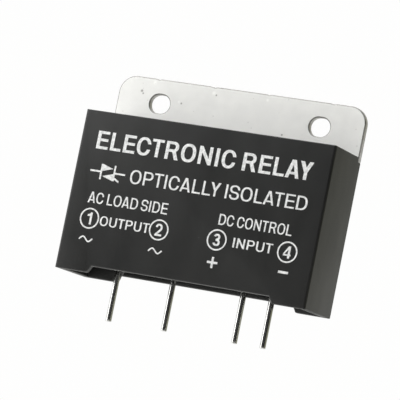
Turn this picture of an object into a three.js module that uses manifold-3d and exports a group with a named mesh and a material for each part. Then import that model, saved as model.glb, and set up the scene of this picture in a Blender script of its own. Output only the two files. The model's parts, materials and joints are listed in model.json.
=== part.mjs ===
// Solid state relay in a single in-line package for a circuit board, with an aluminium base plate.
//
// Millimetres, +Z up. +X runs to the right seen from the printed front, and +Y towards the back of the
// base plate. The origin is the middle of the case, on the board surface that the feet stand on.
//
// The moulded case is open at the back and underneath. The base plate closes the back, and its tab stands
// above the case with two screw holes. Two thyristors on a ceramic substrate are bonded to the plate. A
// control board stands in front of them with the pins soldered to its face, and epoxy fills what is left.

import * as THREE from "three";
import { mergeVertices } from "three/addons/utils/BufferGeometryUtils.js";
import Module from "manifold-3d";

const wasm = await Module();
wasm.setup();

// ---------- Driving dimensions ----------

const CASE_WIDTH = 45;
const CASE_DEPTH = 12; // with the base plate in place
const CASE_HEIGHT = 26.8; // from the circuit board to the top of the case
const WALL = 1.2;

const FOOT_HEIGHT = 1.15;
const FEET_APART_TOP = 32; // between the inner ends of the feet, where they meet the walls
const FEET_APART_BOTTOM = 33.4; // between the same ends on the circuit board
const RAIL_TOP = 3; // top of the rail under the base plate
const GUIDE_REACH = 1; // how far the board guides stand out from the side walls
const GUIDE_THICKNESS = 0.7;
const GUIDE_BOTTOM = 8;
const GUIDE_GAP = 0.1; // between the control board and a guide

const PLATE_THICKNESS = 1.2;
const PLATE_SIDE_GAP = 0.1; // between the plate's lower part and the side walls
const TAB_RISE = 8.2; // above the case
const TAB_CORNER_RADIUS = 3;
const SHOULDER_DROP = 0.8; // from the case's top down to the steps that carry the tab
const SCREW_HOLE = { width: 3.7, height: 3.2 }; // a short slot with round ends
const SCREW_SPACING = 29.2;
const SCREW_RISE = 4; // above the case

const PIN_GRID = 2.54;
const PIN_STEPS = [4, 5, 2]; // grid steps between neighbouring pins
const PIN_ROW_SHIFT = 0.3; // from the middle of the case to the middle of the row
const PIN_DIAMETER = 1;
const PIN_BELOW_BOARD = 7;
const PIN_TOP = 8;
const PIN_CHAMFER = 0.15;
const PIN_SIDES = 24;

const BOARD_THICKNESS = 1.2;
const BOARD_BOTTOM = 3.2;
const BOARD_TOP = 24.8;
const BOARD_SIDE_GAP = 0.2;

const EPOXY_BOTTOM = 2.2;
const POCKET_GAP = 0.1; // around each piece that the epoxy encloses

const BOND_THICKNESS = 0.12;
const BOND_MARGIN = 0.5; // from the substrate's edge in to the bond's
const SUBSTRATE = { width: 26, height: 14, thickness: 0.63, x: -5, z: 16 };
const PAD = { width: 12, height: 12.4, thickness: 0.3, spacing: 12.8 };
const DIE = { size: 4.6, thickness: 0.3, rise: 2.6 }; // rise: how far a die stands off mid-height
const STRAP_THICKNESS = 0.35;

const LEAD_GAP = 0.1; // around a lead in its hole in the board
const LEAD_PAST_BOARD = 0.6;
const STAND_OFF = 0.1; // between the board and the parts that lie on it

// Middles of the parts on the front of the control board, as [x, z].
const OPTOCOUPLER_PLACE = [2.4, 17.6];
const SNUBBER_CAPACITOR_PLACE = [-13.6, 19.4];
const SNUBBER_RESISTOR_PLACE = [-13, 11.4];
const REVERSE_DIODE_PLACE = [13.4, 11.2];
const TRANSISTOR_PLACE = [11.8, 18.6]; // of its lower end
const CHIP_RESISTOR_PLACES = {
  gate_resistor_1: [-4.2, 21.6],
  gate_resistor_2: [-4.2, 11.4],
  input_resistor_1: [17.4, 21.4],
  input_resistor_2: [17.4, 17.6],
};

const SNUBBER_RESISTOR_REACH = 4.6; // from the middle of the part to each lead's hole
const REVERSE_DIODE_REACH = 3.6;

const PAST = 1; // how far a cutting tool runs past the face that it opens

// ---------- Worked out from the driving dimensions ----------

const HALF_WIDTH = CASE_WIDTH / 2;
const INNER_HALF_WIDTH = HALF_WIDTH - WALL;
const FRONT_Y = -CASE_DEPTH / 2;
const BACK_Y = CASE_DEPTH / 2;
const INNER_FRONT_Y = FRONT_Y + WALL;
const PLATE_FACE_Y = BACK_Y - PLATE_THICKNESS;
const SHOULDER_Z = CASE_HEIGHT - SHOULDER_DROP;
const CEILING_Z = CASE_HEIGHT - WALL;
const BOARD_FACE_Y = PIN_DIAMETER / 2;
const BOARD_BACK_Y = BOARD_FACE_Y + BOARD_THICKNESS;
const LEAD_END_Y = BOARD_BACK_Y + LEAD_PAST_BOARD;
const BOND_FACE_Y = PLATE_FACE_Y - BOND_THICKNESS;
const SUBSTRATE_FACE_Y = BOND_FACE_Y - SUBSTRATE.thickness;
const PAD_FACE_Y = SUBSTRATE_FACE_Y - PAD.thickness;
const DIE_FACE_Y = PAD_FACE_Y - DIE.thickness;

// ---------- Materials ----------

function finish(color, roughness, metalness) {
  return new THREE.MeshStandardMaterial({ color, roughness, metalness });
}

const blackPlastic = finish(0x2b2b2a, 0.45, 0);
const aluminium = finish(0xd9d9d4, 0.4, 0.9);
const epoxy = finish(0x17171a, 0.3, 0);
const tinnedWire = finish(0xc2c2be, 0.25, 1);
const copper = finish(0xc07a4a, 0.35, 1);
const solder = finish(0xb4b6b8, 0.3, 1);
const alumina = finish(0xf2f0ea, 0.6, 0);
const silicon = finish(0x54585f, 0.2, 0.6);
const fibreglass = finish(0x2f6b3c, 0.5, 0);
const chipBody = finish(0x1d1d1f, 0.5, 0);
const capacitorFilm = finish(0xb8952f, 0.45, 0);
const resistorLacquer = finish(0xc9b48a, 0.5, 0);
const thermalBond = finish(0xb9bcbf, 0.7, 0.2);

// ---------- Shapes ----------

function block(x0, x1, y0, y1, z0, z1) {
  const geometry = new THREE.BoxGeometry(x1 - x0, y1 - y0, z1 - z0);
  return geometry.translate((x0 + x1) / 2, (y0 + y1) / 2, (z0 + z1) / 2);
}

function centredBlock(width, height, x, z, y0, y1) {
  return block(x - width / 2, x + width / 2, y0, y1, z - height / 2, z + height / 2);
}

function outline(points) {
  return new THREE.Shape(points.map(([u, v]) => new THREE.Vector2(u, v)));
}

// A shape drawn in X and Z, solid from y0 to y1.
function slabAcrossY(shape, y0, y1, curveSegments = 10) {
  const settings = { depth: y1 - y0, bevelEnabled: false, curveSegments };
  const geometry = new THREE.ExtrudeGeometry(shape, settings);
  return geometry.rotateX(Math.PI / 2).translate(0, y1, 0);
}

// A shape drawn in X and Y, solid from z0 to z1.
function slabAcrossZ(shape, z0, z1, curveSegments = 12) {
  const settings = { depth: z1 - z0, bevelEnabled: false, curveSegments };
  return new THREE.ExtrudeGeometry(shape, settings).translate(0, 0, z0);
}

// A shape drawn in Y and Z, solid from x0 to x1.
function slabAcrossX(shape, x0, x1) {
  const geometry = new THREE.ExtrudeGeometry(shape, { depth: x1 - x0, bevelEnabled: false });
  const turn = new THREE.Matrix4().makeBasis(
    new THREE.Vector3(0, 1, 0),
    new THREE.Vector3(0, 0, 1),
    new THREE.Vector3(1, 0, 0),
  );
  return geometry.applyMatrix4(turn).translate(x0, 0, 0);
}

function cylinderAlongY(radius, y0, y1, x, z, sides) {
  return new THREE.CylinderGeometry(radius, radius, y1 - y0, sides).translate(x, (y0 + y1) / 2, z);
}

// A profile of [radius, height] pairs turned about the Z axis. It starts and ends on the axis.
function turned(profile, sides) {
  const points = profile.map(([radius, height]) => new THREE.Vector2(radius, height));
  return new THREE.LatheGeometry(points, sides).rotateX(Math.PI / 2);
}

// Round wire that follows straight runs with its corners rounded off.
function wire(points, diameter, bend = 0.4, steps = 10) {
  const corners = points.map((point) => new THREE.Vector3(...point));
  const path = new THREE.CurvePath();
  let from = corners[0];
  for (let i = 1; i < corners.length - 1; i++) {
    const towardsLast = corners[i - 1].clone().sub(corners[i]).setLength(bend);
    const towardsNext = corners[i + 1].clone().sub(corners[i]).setLength(bend);
    const start = corners[i].clone().add(towardsLast);
    const end = corners[i].clone().add(towardsNext);
    path.add(new THREE.LineCurve3(from, start));
    path.add(new THREE.QuadraticBezierCurve3(start, corners[i], end));
    from = end;
  }
  path.add(new THREE.LineCurve3(from, corners.at(-1)));
  const section = new THREE.Shape().absarc(0, 0, diameter / 2, 0, 2 * Math.PI, false);
  return new THREE.ExtrudeGeometry(section, { steps, extrudePath: path, curveSegments: 4 });
}

// ---------- Joining and cutting ----------

function solidOf(geometry) {
  const bare = geometry.clone();
  bare.deleteAttribute("normal");
  bare.deleteAttribute("uv");
  const merged = mergeVertices(bare, 1e-4);
  const vertProperties = merged.attributes.position.array;
  const triVerts = new Uint32Array(merged.index.array);
  return new wasm.Manifold(new wasm.Mesh({ numProp: 3, vertProperties, triVerts }));
}

function geometryOf(solid) {
  const mesh = solid.getMesh();
  const geometry = new THREE.BufferGeometry();
  geometry.setAttribute("position", new THREE.BufferAttribute(mesh.vertProperties, 3));
  geometry.setIndex(new THREE.BufferAttribute(mesh.triVerts, 1));
  geometry.computeVertexNormals();
  return geometry;
}

function cut(body, tools) {
  return geometryOf(tools.reduce((solid, tool) => solid.subtract(solidOf(tool)), solidOf(body)));
}

function join(first, ...others) {
  return geometryOf(others.reduce((solid, other) => solid.add(solidOf(other)), solidOf(first)));
}

// ---------- The scene graph ----------

const relay = new THREE.Group();
const powerStage = new THREE.Group();
const controlStage = new THREE.Group();
relay.add(powerStage, controlStage);

function place(group, name, geometry, material, position = [0, 0, 0]) {
  const mesh = new THREE.Mesh(geometry, material);
  mesh.name = name;
  mesh.position.set(...position);
  group.add(mesh);
  return mesh;
}

// ---------- Case ----------

const guidePlaces = [
  [BOARD_FACE_Y - GUIDE_GAP - GUIDE_THICKNESS, BOARD_FACE_Y - GUIDE_GAP],
  [BOARD_BACK_Y + GUIDE_GAP, BOARD_BACK_Y + GUIDE_GAP + GUIDE_THICKNESS],
];

// The board guides on one side wall, grown by gap. side is -1 on the left and 1 on the right.
function boardGuides(side, gap = 0) {
  const inner = INNER_HALF_WIDTH - GUIDE_REACH - gap;
  const outer = INNER_HALF_WIDTH + WALL / 2;
  const [x0, x1] = side < 0 ? [-outer, -inner] : [inner, outer];
  return guidePlaces.map(([y0, y1]) =>
    block(x0, x1, y0 - gap, y1 + gap, GUIDE_BOTTOM - gap, CEILING_Z + WALL / 2),
  );
}

// The opening between the feet, through the front and back walls. Its ends slope outwards to the feet.
function betweenFeet() {
  const slope = (FEET_APART_BOTTOM - FEET_APART_TOP) / 2 / FOOT_HEIGHT;
  const half = FEET_APART_BOTTOM / 2 + slope * PAST;
  const shape = outline([
    [-half, -PAST],
    [half, -PAST],
    [FEET_APART_TOP / 2, FOOT_HEIGHT],
    [-FEET_APART_TOP / 2, FOOT_HEIGHT],
  ]);
  return slabAcrossY(shape, FRONT_Y - PAST, BACK_Y + PAST);
}

function caseShell() {
  const inner = INNER_HALF_WIDTH;
  const wide = HALF_WIDTH + PAST;
  const back = BACK_Y + PAST;
  const above = CASE_HEIGHT + PAST;
  const shell = cut(block(-HALF_WIDTH, HALF_WIDTH, FRONT_Y, BACK_Y, 0, CASE_HEIGHT), [
    block(-inner, inner, INNER_FRONT_Y, PLATE_FACE_Y, -PAST, CEILING_Z),
    block(-inner, inner, PLATE_FACE_Y, back, RAIL_TOP, above),
    block(-inner, inner, PLATE_FACE_Y - WALL, back, RAIL_TOP, CEILING_Z),
    block(-wide, wide, PLATE_FACE_Y, back, SHOULDER_Z, above),
    betweenFeet(),
  ]);
  return join(shell, ...boardGuides(-1), ...boardGuides(1));
}

place(relay, "case_shell", caseShell(), blackPlastic);

// ---------- Base plate ----------

function basePlate() {
  const low = RAIL_TOP;
  const high = CASE_HEIGHT + TAB_RISE;
  const narrow = INNER_HALF_WIDTH - PLATE_SIDE_GAP;
  const radius = TAB_CORNER_RADIUS;
  const shape = new THREE.Shape();
  shape.moveTo(-narrow, low);
  shape.lineTo(narrow, low);
  shape.lineTo(narrow, SHOULDER_Z);
  shape.lineTo(HALF_WIDTH, SHOULDER_Z);
  shape.lineTo(HALF_WIDTH, high - radius);
  shape.absarc(HALF_WIDTH - radius, high - radius, radius, 0, Math.PI / 2, false);
  shape.absarc(-HALF_WIDTH + radius, high - radius, radius, Math.PI / 2, Math.PI, false);
  shape.lineTo(-HALF_WIDTH, SHOULDER_Z);
  shape.lineTo(-narrow, SHOULDER_Z);
  shape.closePath();
  const holeZ = CASE_HEIGHT + SCREW_RISE;
  const endRadius = SCREW_HOLE.height / 2;
  const endReach = SCREW_HOLE.width / 2 - endRadius;
  for (const side of [-1, 1]) {
    const x = (side * SCREW_SPACING) / 2;
    const hole = new THREE.Path();
    hole.absarc(x + endReach, holeZ, endRadius, -Math.PI / 2, Math.PI / 2, false);
    hole.absarc(x - endReach, holeZ, endRadius, Math.PI / 2, (3 * Math.PI) / 2, false);
    hole.closePath();
    shape.holes.push(hole);
  }
  return slabAcrossY(shape, PLATE_FACE_Y, BACK_Y, 12);
}

place(relay, "base_plate", basePlate(), aluminium);

// ---------- Terminal pins ----------

const pinSpan = PIN_STEPS.reduce((sum, step) => sum + step, 0) * PIN_GRID;
const pinPlaces = PIN_STEPS.reduce(
  (places, step) => [...places, places.at(-1) + step * PIN_GRID],
  [PIN_ROW_SHIFT - pinSpan / 2],
);

function terminalPin() {
  const radius = PIN_DIAMETER / 2;
  const profile = [
    [0, -PIN_BELOW_BOARD],
    [radius - PIN_CHAMFER, -PIN_BELOW_BOARD],
    [radius, -PIN_BELOW_BOARD + PIN_CHAMFER],
    [radius, PIN_TOP - PIN_CHAMFER],
    [radius - PIN_CHAMFER, PIN_TOP],
    [0, PIN_TOP],
  ];
  return turned(profile, PIN_SIDES);
}

// The fillet of solder that holds a pin's upper end against the face of the board.
function pinSolder() {
  const halfWidth = 1.1;
  const halfShoulder = 0.85;
  const shoulderY = BOARD_FACE_Y - 0.3;
  const halfCrest = 0.35;
  const low = BOARD_BOTTOM + 0.3;
  const high = PIN_TOP + 0.4;
  const clearance = 0.02;
  const ridge = outline([
    [-halfWidth, BOARD_FACE_Y],
    [-halfShoulder, shoulderY],
    [-halfCrest, -halfCrest],
    [halfCrest, -halfCrest],
    [halfShoulder, shoulderY],
    [halfWidth, BOARD_FACE_Y],
  ]);
  const radius = PIN_DIAMETER / 2 + clearance;
  const bore = [
    [0, low - PAST],
    [radius, low - PAST],
    [radius, PIN_TOP + clearance],
    [0, PIN_TOP + clearance],
  ];
  return cut(slabAcrossZ(ridge, low, high), [turned(bore, PIN_SIDES)]);
}

pinPlaces.forEach((x, i) => {
  place(relay, `terminal_pin_${i + 1}`, terminalPin(), tinnedWire, [x, 0, 0]);
  place(controlStage, `pin_solder_${i + 1}`, pinSolder(), solder, [x, 0, 0]);
});

// ---------- Power stage on the base plate ----------

function placeSubstrate() {
  const { width, height, x, z } = SUBSTRATE;
  const bondWidth = width - 2 * BOND_MARGIN;
  const bondHeight = height - 2 * BOND_MARGIN;
  const bond = centredBlock(bondWidth, bondHeight, x, z, BOND_FACE_Y, PLATE_FACE_Y);
  place(powerStage, "thermal_bond", bond, thermalBond);
  const substrate = centredBlock(width, height, x, z, SUBSTRATE_FACE_Y, BOND_FACE_Y);
  place(powerStage, "ceramic_substrate", substrate, alumina);
}

// A copper strap from the top of one die down to the other die's pad. side is the die's own side.
function cathodeStrap(side) {
  const halfWidth = 0.9;
  const start = -1.6;
  const step = DIE.size / 2 + 0.6; // where the strap leaves the die and starts down
  const foot = PAD.spacing - DIE.size / 2 - 0.9; // the far end, on the other pad
  const footLength = 1.4;
  const ease = 0.2; // the strap's outer corners come this much further along than its inner ones
  const points = [
    [start, DIE_FACE_Y],
    [start, DIE_FACE_Y - STRAP_THICKNESS],
    [step, DIE_FACE_Y - STRAP_THICKNESS],
    [foot - footLength + ease, PAD_FACE_Y - STRAP_THICKNESS],
    [foot, PAD_FACE_Y - STRAP_THICKNESS],
    [foot, PAD_FACE_Y],
    [foot - footLength, PAD_FACE_Y],
    [step - ease, DIE_FACE_Y],
  ];
  const across = points.map(([u, v]) => [-side * u, v]);
  return slabAcrossZ(outline(side < 0 ? across : across.reverse()), -halfWidth, halfWidth);
}

// A bent copper strip from the foot of a pad across to the back of the control board.
function loadStrap() {
  const halfWidth = 1.4;
  const boardZ = BOARD_BOTTOM + 0.8;
  const padZ = SUBSTRATE.z - PAD.height / 2;
  const hold = 1; // length that lies on the pad, short of the die
  const boardHold = 2.2; // length that lies on the board
  const bend = 0.5;
  const ease = 0.1; // half the shift between a bend's two sides
  const t = STRAP_THICKNESS;
  const points = [
    [PAD_FACE_Y, padZ + hold],
    [PAD_FACE_Y - t, padZ + hold],
    [PAD_FACE_Y - t, padZ - bend + ease],
    [BOARD_BACK_Y + t, boardZ + boardHold],
    [BOARD_BACK_Y, boardZ + boardHold],
    [BOARD_BACK_Y, boardZ],
    [BOARD_BACK_Y + t, boardZ],
    [BOARD_BACK_Y + t, boardZ + boardHold - 3 * ease],
    [PAD_FACE_Y, padZ - bend - ease],
  ];
  return slabAcrossX(outline(points), -halfWidth, halfWidth);
}

// Wire from the corner of a die up to the back of the control board.
function gateWire(side, x, z) {
  const diameter = 0.4;
  const bend = 0.25;
  const fromDieEdge = 0.7;
  const gateX = x + side * (DIE.size / 2 - fromDieEdge);
  const gateZ = z + DIE.size / 2 - fromDieEdge;
  const standing = 0.7;
  const rise = 2.2;
  const path = [
    [gateX, DIE_FACE_Y, gateZ],
    [gateX, DIE_FACE_Y - standing, gateZ],
    [gateX, DIE_FACE_Y - standing, gateZ + rise],
    [gateX, BOARD_BACK_Y, gateZ + rise],
  ];
  return wire(path, diameter, bend);
}

placeSubstrate();

[-1, 1].forEach((side, i) => {
  const n = i + 1;
  const x = SUBSTRATE.x + (side * PAD.spacing) / 2;
  const dieZ = SUBSTRATE.z + side * DIE.rise;
  const pad = centredBlock(PAD.width, PAD.height, x, SUBSTRATE.z, PAD_FACE_Y, SUBSTRATE_FACE_Y);
  const die = centredBlock(DIE.size, DIE.size, x, dieZ, DIE_FACE_Y, PAD_FACE_Y);
  place(powerStage, `load_pad_${n}`, pad, copper);
  place(powerStage, `thyristor_die_${n}`, die, silicon);
  place(powerStage, `cathode_strap_${n}`, cathodeStrap(side), copper, [x, 0, dieZ]);
  place(powerStage, `gate_wire_${n}`, gateWire(side, x, dieZ), tinnedWire);
  place(powerStage, `load_strap_${n}`, loadStrap(), copper, [pinPlaces[i], 0, 0]);
});

// ---------- Control board and what is soldered to it ----------

const leadHoles = []; // [x, z, radius] of each hole in the control board

function drilled(x, z, leadDiameter) {
  leadHoles.push([x, z, leadDiameter / 2 + LEAD_GAP]);
}

// Dual in-line optocoupler with a light emitter on its right side and the thyristor driver on its left.
function placeOptocoupler([x, z]) {
  const width = 6.4;
  const length = 8.6;
  const thickness = 3.5;
  const backY = BOARD_FACE_Y - 0.4;
  const frontY = backY - thickness;
  const notchRadius = 0.9;
  const notchDepth = 0.5;
  const rowOffset = (3 * PIN_GRID) / 2;
  const leadY = (frontY + backY) / 2;
  const leadThickness = 0.25;
  const leadWidth = 0.5;
  const holeDiameter = leadWidth + LEAD_GAP;
  const body = centredBlock(width, length, x, z, frontY, backY);
  const notchFloor = frontY + notchDepth;
  const notch = cylinderAlongY(notchRadius, frontY - PAST, notchFloor, x, z + length / 2, 16);
  place(controlStage, "optocoupler_body", cut(body, [notch]), chipBody);
  let number = 0;
  for (const side of [-1, 1]) {
    for (const step of [1, 0, -1]) {
      number += 1;
      const outer = rowOffset + leadThickness / 2;
      const inner = rowOffset - leadThickness / 2;
      const points = [
        [width / 2, leadY - leadThickness],
        [outer, leadY - leadThickness],
        [outer, LEAD_END_Y],
        [inner, LEAD_END_Y],
        [inner, leadY],
        [width / 2, leadY],
      ];
      const shaped = side > 0 ? points : points.map(([u, v]) => [-u, v]).reverse();
      const lead = slabAcrossZ(outline(shaped), -leadWidth / 2, leadWidth / 2);
      const leadZ = z + step * PIN_GRID;
      place(controlStage, `optocoupler_lead_${number}`, lead, tinnedWire, [x, 0, leadZ]);
      drilled(x + side * rowOffset, leadZ, holeDiameter);
    }
  }
}

// Film capacitor lying on the board, with both leads leaving its lower end.
function placeSnubberCapacitor([x, z]) {
  const width = 11.5;
  const height = 8.6;
  const frontY = BOARD_FACE_Y - 4.4;
  const backY = BOARD_FACE_Y - STAND_OFF;
  const edge = 0.5;
  const leadDiameter = 0.6;
  const leadDrop = 0.9; // from the body's lower end to the holes in the board
  const half = width / 2;
  const section = outline([
    [-half, frontY + edge],
    [-half + edge, frontY],
    [half - edge, frontY],
    [half, frontY + edge],
    [half, backY],
    [-half, backY],
  ]);
  const body = slabAcrossZ(section, -height / 2, height / 2);
  place(controlStage, "snubber_capacitor", body, capacitorFilm, [x, 0, z]);
  [-1, 1].forEach((side, i) => {
    const leadX = x + side * 1.5 * PIN_GRID;
    const bottom = z - height / 2;
    const leadY = (frontY + backY) / 2;
    const path = [
      [leadX, leadY, bottom],
      [leadX, leadY, bottom - leadDrop],
      [leadX, LEAD_END_Y, bottom - leadDrop],
    ];
    const lead = wire(path, leadDiameter);
    place(controlStage, `snubber_capacitor_lead_${i + 1}`, lead, tinnedWire);
    drilled(leadX, bottom - leadDrop, leadDiameter);
  });
}

// A part with its body along X and a lead bent down to the board at each end, holeOffset from its middle.
function placeAxialPart(name, material, profile, [x, z], holeOffset) {
  const leadDiameter = 0.6;
  const body = turned(profile, 20).rotateY(Math.PI / 2);
  const bodyRadius = Math.max(...profile.map(([radius]) => radius));
  const bodyY = BOARD_FACE_Y - STAND_OFF - bodyRadius;
  place(controlStage, name, body, material, [x, bodyY, z]);
  const end = profile.at(-1)[1];
  [-1, 1].forEach((side, i) => {
    const holeX = x + side * holeOffset;
    const path = [
      [x + side * end, bodyY, z],
      [holeX, bodyY, z],
      [holeX, LEAD_END_Y, z],
    ];
    place(controlStage, `${name}_lead_${i + 1}`, wire(path, leadDiameter), tinnedWire);
    drilled(holeX, z, leadDiameter);
  });
}

// A resistor's body is fatter over its end caps.
const resistorProfile = [
  [0, -3.1],
  [0.7, -3.1],
  [1.15, -2.7],
  [1.15, -1.9],
  [0.95, -1.4],
  [0.95, 1.4],
  [1.15, 1.9],
  [1.15, 2.7],
  [0.7, 3.1],
  [0, 3.1],
];

const diodeProfile = [
  [0, -2.1],
  [0.9, -2.1],
  [1.1, -1.9],
  [1.1, 1.9],
  [0.9, 2.1],
  [0, 2.1],
];

// Surface-mounted resistor: a ceramic chip between two raised end terminations.
function chipResistor() {
  const length = 3.2;
  const width = 1.6;
  const height = 0.6;
  const endLength = 0.5;
  const plating = 0.05; // how far the ends stand proud of the chip
  const frontY = BOARD_FACE_Y - height;
  const chipLength = length - 2 * plating;
  const chipWidth = width - 2 * plating;
  const chip = centredBlock(chipLength, chipWidth, 0, 0, frontY + plating, BOARD_FACE_Y - plating);
  const ends = [-1, 1].map((side) =>
    centredBlock(endLength, width, (side * (length - endLength)) / 2, 0, frontY, BOARD_FACE_Y),
  );
  return join(chip, ...ends);
}

// Small D-shaped transistor lying on its flat, with three leads bent back to the board.
function placeTransistor([x, z]) {
  const radius = 2.3;
  const flat = 1.4;
  const height = 4.5;
  const leadDiameter = 0.45;
  const leadBend = 0.35;
  const leadDrop = 1.1; // from the body's lower end to the holes in the board
  const axisY = BOARD_FACE_Y - STAND_OFF - flat;
  const open = Math.acos(flat / radius);
  const section = new THREE.Shape();
  section.absarc(0, 0, radius, Math.PI / 2 + open, Math.PI / 2 - open + 2 * Math.PI, false);
  section.closePath();
  const body = slabAcrossZ(section, 0, height, 16);
  place(controlStage, "limiter_transistor", body, chipBody, [x, axisY, z]);
  [-1, 0, 1].forEach((step, i) => {
    const leadX = x + (step * PIN_GRID) / 2;
    const path = [
      [leadX, axisY, z],
      [leadX, axisY, z - leadDrop],
      [leadX, LEAD_END_Y, z - leadDrop],
    ];
    const lead = wire(path, leadDiameter, leadBend);
    place(controlStage, `limiter_transistor_lead_${i + 1}`, lead, tinnedWire);
    drilled(leadX, z - leadDrop, leadDiameter);
  });
}

placeOptocoupler(OPTOCOUPLER_PLACE);
placeSnubberCapacitor(SNUBBER_CAPACITOR_PLACE);
placeAxialPart(
  "snubber_resistor",
  resistorLacquer,
  resistorProfile,
  SNUBBER_RESISTOR_PLACE,
  SNUBBER_RESISTOR_REACH,
);
placeAxialPart("reverse_diode", chipBody, diodeProfile, REVERSE_DIODE_PLACE, REVERSE_DIODE_REACH);
placeTransistor(TRANSISTOR_PLACE);
for (const [name, [x, z]] of Object.entries(CHIP_RESISTOR_PLACES)) {
  place(controlStage, name, chipResistor(), chipBody, [x, 0, z]);
}

function controlBoard() {
  const half = INNER_HALF_WIDTH - BOARD_SIDE_GAP;
  const sheet = block(-half, half, BOARD_FACE_Y, BOARD_BACK_Y, BOARD_BOTTOM, BOARD_TOP);
  const holes = leadHoles.map(([x, z, radius]) =>
    cylinderAlongY(radius, BOARD_FACE_Y - PAST, BOARD_BACK_Y + PAST, x, z, 12),
  );
  return cut(sheet, holes);
}

place(controlStage, "control_board", controlBoard(), fibreglass);

// ---------- Epoxy that fills the case ----------

function epoxyFill() {
  const fill = block(
    -INNER_HALF_WIDTH,
    INNER_HALF_WIDTH,
    INNER_FRONT_Y,
    PLATE_FACE_Y,
    EPOXY_BOTTOM,
    CEILING_Z,
  );
  relay.updateMatrixWorld(true);
  const pockets = [];
  for (const stage of [powerStage, controlStage]) {
    stage.traverse((piece) => {
      if (!piece.isMesh) return;
      const { min, max } = new THREE.Box3().setFromObject(piece).expandByScalar(POCKET_GAP);
      pockets.push(block(min.x, max.x, min.y, max.y, min.z, max.z));
    });
  }
  for (const x of pinPlaces) {
    const radius = PIN_DIAMETER / 2 + POCKET_GAP / 2;
    const top = PIN_TOP + POCKET_GAP;
    const bore = [
      [0, 0],
      [radius, 0],
      [radius, top],
      [0, top],
    ];
    pockets.push(turned(bore, PIN_SIDES).translate(x, 0, 0));
  }
  return cut(fill, [...pockets, ...boardGuides(-1, POCKET_GAP), ...boardGuides(1, POCKET_GAP)]);
}

place(relay, "epoxy_fill", epoxyFill(), epoxy);

export default relay;
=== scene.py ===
"""Looks for a solid state relay with an aluminium base plate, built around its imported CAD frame.

Metres, +Z up. The printed front faces -Y, the base plate is at the back, and the pins point down.
Dimensions below are in millimetres and are turned into metres where the geometry is made.
"""

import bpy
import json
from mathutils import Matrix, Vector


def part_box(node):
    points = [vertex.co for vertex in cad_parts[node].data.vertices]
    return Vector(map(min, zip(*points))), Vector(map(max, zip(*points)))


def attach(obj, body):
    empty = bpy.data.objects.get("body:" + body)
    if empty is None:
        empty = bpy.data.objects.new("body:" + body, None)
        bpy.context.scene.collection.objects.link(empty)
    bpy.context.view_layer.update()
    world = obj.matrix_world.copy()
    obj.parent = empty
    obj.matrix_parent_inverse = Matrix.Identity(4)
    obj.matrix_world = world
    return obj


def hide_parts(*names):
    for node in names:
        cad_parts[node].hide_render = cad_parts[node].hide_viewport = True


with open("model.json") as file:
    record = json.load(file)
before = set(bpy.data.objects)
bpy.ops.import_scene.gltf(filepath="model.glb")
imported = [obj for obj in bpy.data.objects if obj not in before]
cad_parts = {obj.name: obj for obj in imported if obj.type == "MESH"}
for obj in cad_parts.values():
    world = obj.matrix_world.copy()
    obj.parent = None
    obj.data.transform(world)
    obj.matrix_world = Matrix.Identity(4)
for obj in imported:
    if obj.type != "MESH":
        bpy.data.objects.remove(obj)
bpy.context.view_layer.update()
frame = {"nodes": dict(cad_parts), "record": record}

import json
import math

import bmesh
import bpy
from mathutils import Matrix, Vector

MM = 0.001

# ---------- Dimensions that the frame doesn't give, in millimetres ----------

TAB_CORNER_RADIUS = 3
SHOULDER_DROP = 0.8
WALL = 1.2
SCREW_HOLE_WIDTH = 3.7
SCREW_HOLE_HEIGHT = 3.2
SCREW_SPACING = 29.2
SCREW_RISE = 4

PLATE_SIDE_GAP = 0.1

CASE_EDGE_RADIUS = 0.16
CASE_CORNER_RADIUS = 0.45  # of the two upright corners beside the print
CASE_CORNER_STEPS = 5
PLATE_EDGE_RADIUS = 0.18
PLATE_EDGE_STEPS = 3
PIN_EDGE_RADIUS = 0.09
PIN_SEGMENTS = 48
INK_THICKNESS = 0.02
INK_SUNK = 0.03  # how deep the print reaches into the case

# ---------- Places taken from the frame, in millimetres ----------


def box_mm(node):
    low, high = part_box(node)
    return low / MM, high / MM


case_low, case_high = box_mm("case_shell")
plate_low, plate_high = box_mm("base_plate")
epoxy_low, epoxy_high = box_mm("epoxy_fill")
pin_names = [f"terminal_pin_{number}" for number in range(1, 5)]
pin_boxes = [box_mm(name) for name in pin_names]
pin_places = [(low + high) / 2 for low, high in pin_boxes]
pin_radius = (pin_boxes[0][1].x - pin_boxes[0][0].x) / 2
ink_front_y = case_low.y
case_front_y = case_low.y + INK_THICKNESS

# ---------- Camera ----------

CAMERA_AZIMUTH = 23.852
CAMERA_ELEVATION = -5.522
CAMERA_ROLL = 11.382
CAMERA_DISTANCE = 513.1
CAMERA_LENS = 284.2
CAMERA_AIM = Vector((0.92, -6, 14.68))


def away_from_object(azimuth, elevation):
    """Unit vector towards a place round the object. Azimuth 0 is in front of it and 90 to its right."""
    a, e = math.radians(azimuth), math.radians(elevation)
    return Vector((math.sin(a) * math.cos(e), -math.cos(a) * math.cos(e), math.sin(e)))


def add_camera():
    data = bpy.data.cameras.new("photo_camera")
    data.lens = CAMERA_LENS
    data.clip_start = 0.01
    data.clip_end = 20
    camera = bpy.data.objects.new("photo_camera", data)
    bpy.context.scene.collection.objects.link(camera)
    back = away_from_object(CAMERA_AZIMUTH, CAMERA_ELEVATION)
    camera.location = (CAMERA_AIM + back * CAMERA_DISTANCE) * MM
    level = (-back).to_track_quat("-Z", "Y").to_matrix()
    roll = Matrix.Rotation(math.radians(CAMERA_ROLL), 3, "Z")
    camera.rotation_euler = (level @ roll).to_euler()
    bpy.context.scene.camera = camera


add_camera()

# ---------- Node graph helpers ----------


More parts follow.
